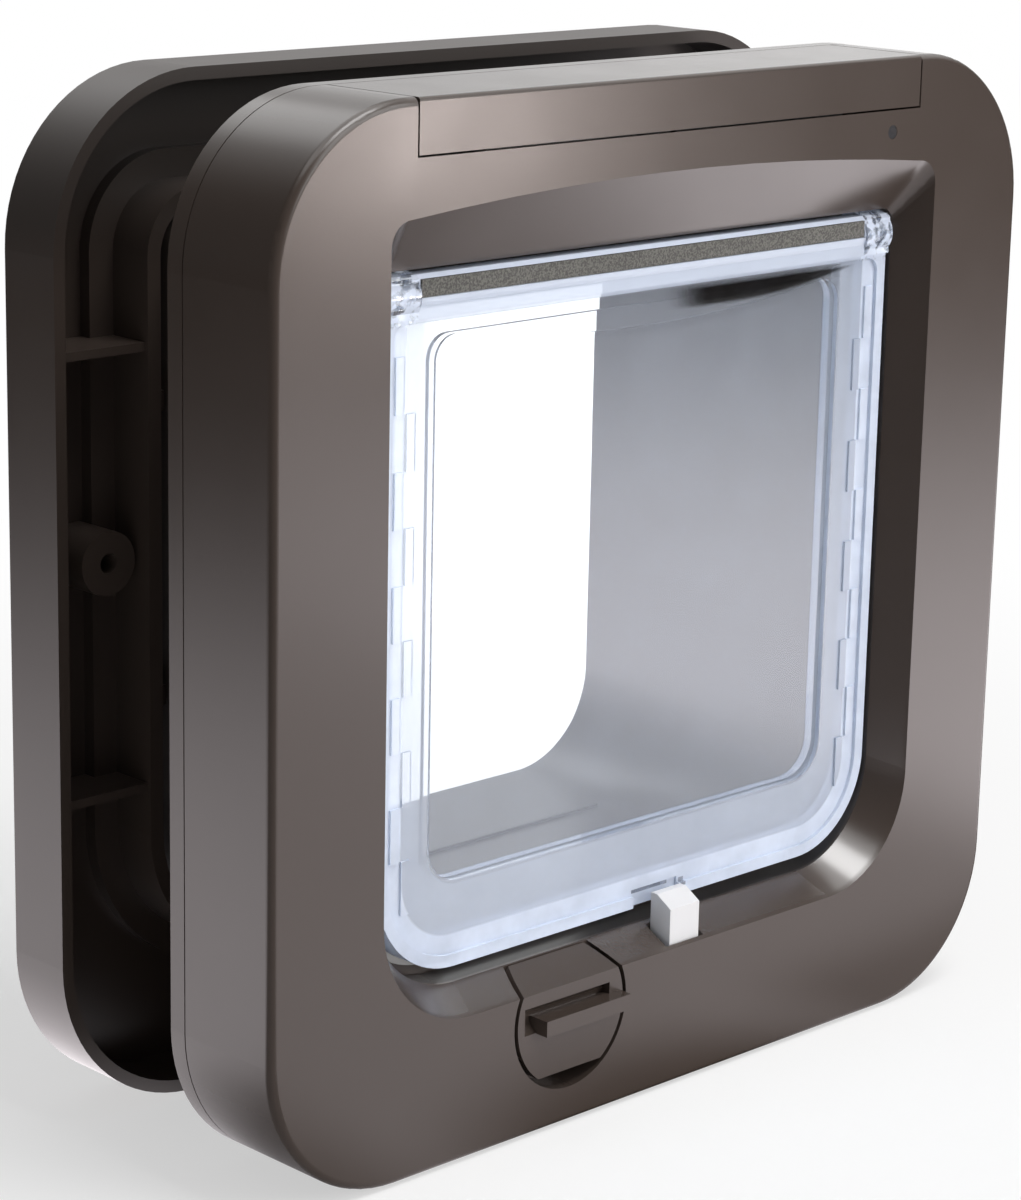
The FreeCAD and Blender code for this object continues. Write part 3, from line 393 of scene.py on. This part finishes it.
across, along, _ = split(tree, coords.outputs["Object"])
left_level = ramp_to(tree, along, -0.03, 0.03, 0.25, 2.5)
middle = ramp_to(tree, across, -0.09, -0.05, 0.0, 1.0)
drop = math_node(tree, "SUBTRACT", 1.4, left_level)
base = math_node(tree, "MULTIPLY_ADD", drop, middle, left_level)
right_gain = ramp_to(tree, across, 0.16, 0.24, 0.0, 2.6)
beside = times(tree, ramp_to(tree, across, 0.04, 0.08, 0.0, 1.0),
               ramp_to(tree, along, -0.09, -0.06, 0.0, 1.0))
width = ramp_to(tree, across, -0.08, 0.2, 0.53, 0.78)
scaled = math_node(tree, "DIVIDE", reach, width)
steep = math_node(tree, "POWER", scaled, 4.0)
falloff = math_node(tree, "EXPONENT", times(tree, steep, -1.0))
clear_of = ramp_to(tree, reach, 0.05, 0.09, 0.0, 1.0)
near_level = ramp_to(tree, across, 0.1, 0.2, 0.5, 0.0)
open_level = math_node(tree, "ADD", base, right_gain)
sheen = times(tree, clear_of, mixed(tree, beside, open_level, near_level))
# Painted reflection: an emission that only glossy rays see.
reflection_glow = node(tree, "ShaderNodeEmission", Color=REFLECTION_GLOW_COLOUR)
tree.links.new(times(tree, falloff, sheen), reflection_glow.inputs["Strength"])
either = tree.nodes.new("ShaderNodeMixShader")
mirrored = above_zero(tree, math_node(tree, "SUBTRACT", rays.outputs["Is Glossy Ray"],
                                      rays.outputs["Is Transmission Ray"]))
tree.links.new(mirrored, either.inputs["Fac"])
tree.links.new(blend.outputs["Shader"], either.inputs[1])
tree.links.new(reflection_glow.outputs["Emission"], either.inputs[2])
tree.links.new(either.outputs["Shader"], tree.nodes["Material Output"].inputs["Surface"])
floor.data.materials.append(floor_mat)

# World: white to the eye and through clear pieces. As light it is a soft grey,
# for gloss it is dark to the left and bright behind to the right, with the levels
# below for a softbox to the right, a lit wall behind and panels high up and overhead.
SOFTBOX_LEVEL = 1.8
BEHIND_LEVEL = 0.8
BEHIND_RIGHT_GAIN = 0.5
HIGH_LEVEL = 2.3
ABOVE_LEVEL = 2.4
world = bpy.data.worlds.new("studio")
bpy.context.scene.world = world
world.use_nodes = True
tree = world.node_tree
back = tree.nodes["Background"]
back.inputs["Color"].default_value = WHITE
rays = tree.nodes.new("ShaderNodeLightPath")
through = math_node(tree, "MULTIPLY", rays.outputs["Is Transmission Ray"], THROUGH)
seen = math_node(tree, "MAXIMUM", rays.outputs["Is Camera Ray"], through)
coords = tree.nodes.new("ShaderNodeTexCoord")
way_x, way_y, way_z = split(tree, coords.outputs["Generated"])
rightward = ramp_to(tree, way_x, -0.2, 0.5, 0.04, 0.12)
softbox = times(tree, ramp_to(tree, way_x, 0.56, 0.72, 0.0, SOFTBOX_LEVEL),
                ramp_to(tree, way_z, 0.3, 0.6, 0.0, 1.0))
sideways = math_node(tree, "ADD", ramp_to(tree, way_x, -0.5, 0.0, 0.0, BEHIND_LEVEL),
                     ramp_to(tree, way_x, 0.64, 0.8, 0.0, BEHIND_RIGHT_GAIN))
behind = times(tree, sideways, ramp_to(tree, way_y, 0.1, 0.6, 0.0, 1.0))
high = times(tree, ramp_to(tree, way_x, -0.2, 0.15, 0.0, HIGH_LEVEL),
             ramp_to(tree, way_z, 0.35, 0.5, 0.0, 1.0))
high = times(tree, high, ramp_to(tree, way_x, 0.35, 0.55, 1.0, 0.0))
above = times(tree, ramp_to(tree, way_z, 0.75, 0.88, 0.0, ABOVE_LEVEL),
              ramp_to(tree, way_x, -0.7, -0.5, 0.0, 1.0))
brightest = math_node(tree, "MAXIMUM", math_node(tree, "MAXIMUM", softbox, behind),
                      math_node(tree, "MAXIMUM", high, above))
gloss_level = math_node(tree, "ADD", rightward, brightest)
soft_level = ramp_to(tree, way_x, -0.9, 0.3, 0.22, 0.42)
gloss_share = times(tree, gloss_level, rays.outputs["Is Glossy Ray"])
soft_share = times(tree, soft_level, math_node(tree, "SUBTRACT", 1.0, rays.outputs["Is Glossy Ray"]))
level = math_node(tree, "MAXIMUM", seen, math_node(tree, "ADD", gloss_share, soft_share))
tree.links.new(level, back.inputs["Strength"])


def lamp(name, spot, aim, size, watts, colour=(1.0, 1.0, 1.0)):
    """Rectangular lamp that points at aim."""
    data = bpy.data.lights.new(name, "AREA")
    data.color = colour
    data.shape = "RECTANGLE"
    data.size, data.size_y = size
    data.energy = watts
    item = bpy.data.objects.new(name, data)
    bpy.context.collection.objects.link(item)
    item.location = spot
    item.rotation_euler = (Vector(aim) - Vector(spot)).to_track_quat("-Z", "Y").to_euler()


# The broad lamp lights the front, the small one by the floor makes the glow near
# the front's upper left, and the overhead one lights what faces up.
lamp("broad", (0.75, -1.55, 0.75), (0, 0, 0.1), (1.1, 1.1), 13.0)
lamp("glow", (0.462, -0.628, 0.13), (-0.05, -MID, 0.19), (0.07, 0.1), 0.68, (1.0, 0.88, 0.84))
lamp("overhead", (0.12, -0.5, 1.25), (0, 0, 0.1), (0.6, 0.6), 9.0)

# Camera solved from the outlines of both frames in the photo.
# The focal length is in pixels of its width.
AZ, EL, ROLL = (math.radians(v) for v in (-44.371, 14.494, 1.186))
CAMERA_AT = (-0.4942, -0.4589 - MID, 0.2786)
FOCAL_PX = 3466.0
WIDTH_PX = 1021.0
SENSOR = 36.0
away = Vector((math.sin(AZ) * math.cos(EL), -math.cos(AZ) * math.cos(EL), math.sin(EL)))
right = (-away).cross(Vector((0, 0, 1))).normalized()
up = right.cross(-away)
right_r = right * math.cos(ROLL) + up * math.sin(ROLL)
up_r = -right * math.sin(ROLL) + up * math.cos(ROLL)
data = bpy.data.cameras.new("camera")
data.sensor_fit = "HORIZONTAL"
data.sensor_width = SENSOR
data.lens = FOCAL_PX / WIDTH_PX * SENSOR
data.clip_start = 0.01
camera = bpy.data.objects.new("camera", data)
bpy.context.collection.objects.link(camera)
turn = Matrix((right_r, up_r, away)).transposed()
camera.matrix_world = Matrix.Translation(CAMERA_AT) @ turn.to_4x4()
bpy.context.scene.camera = camera

bpy.context.scene.view_settings.view_transform = "Standard"
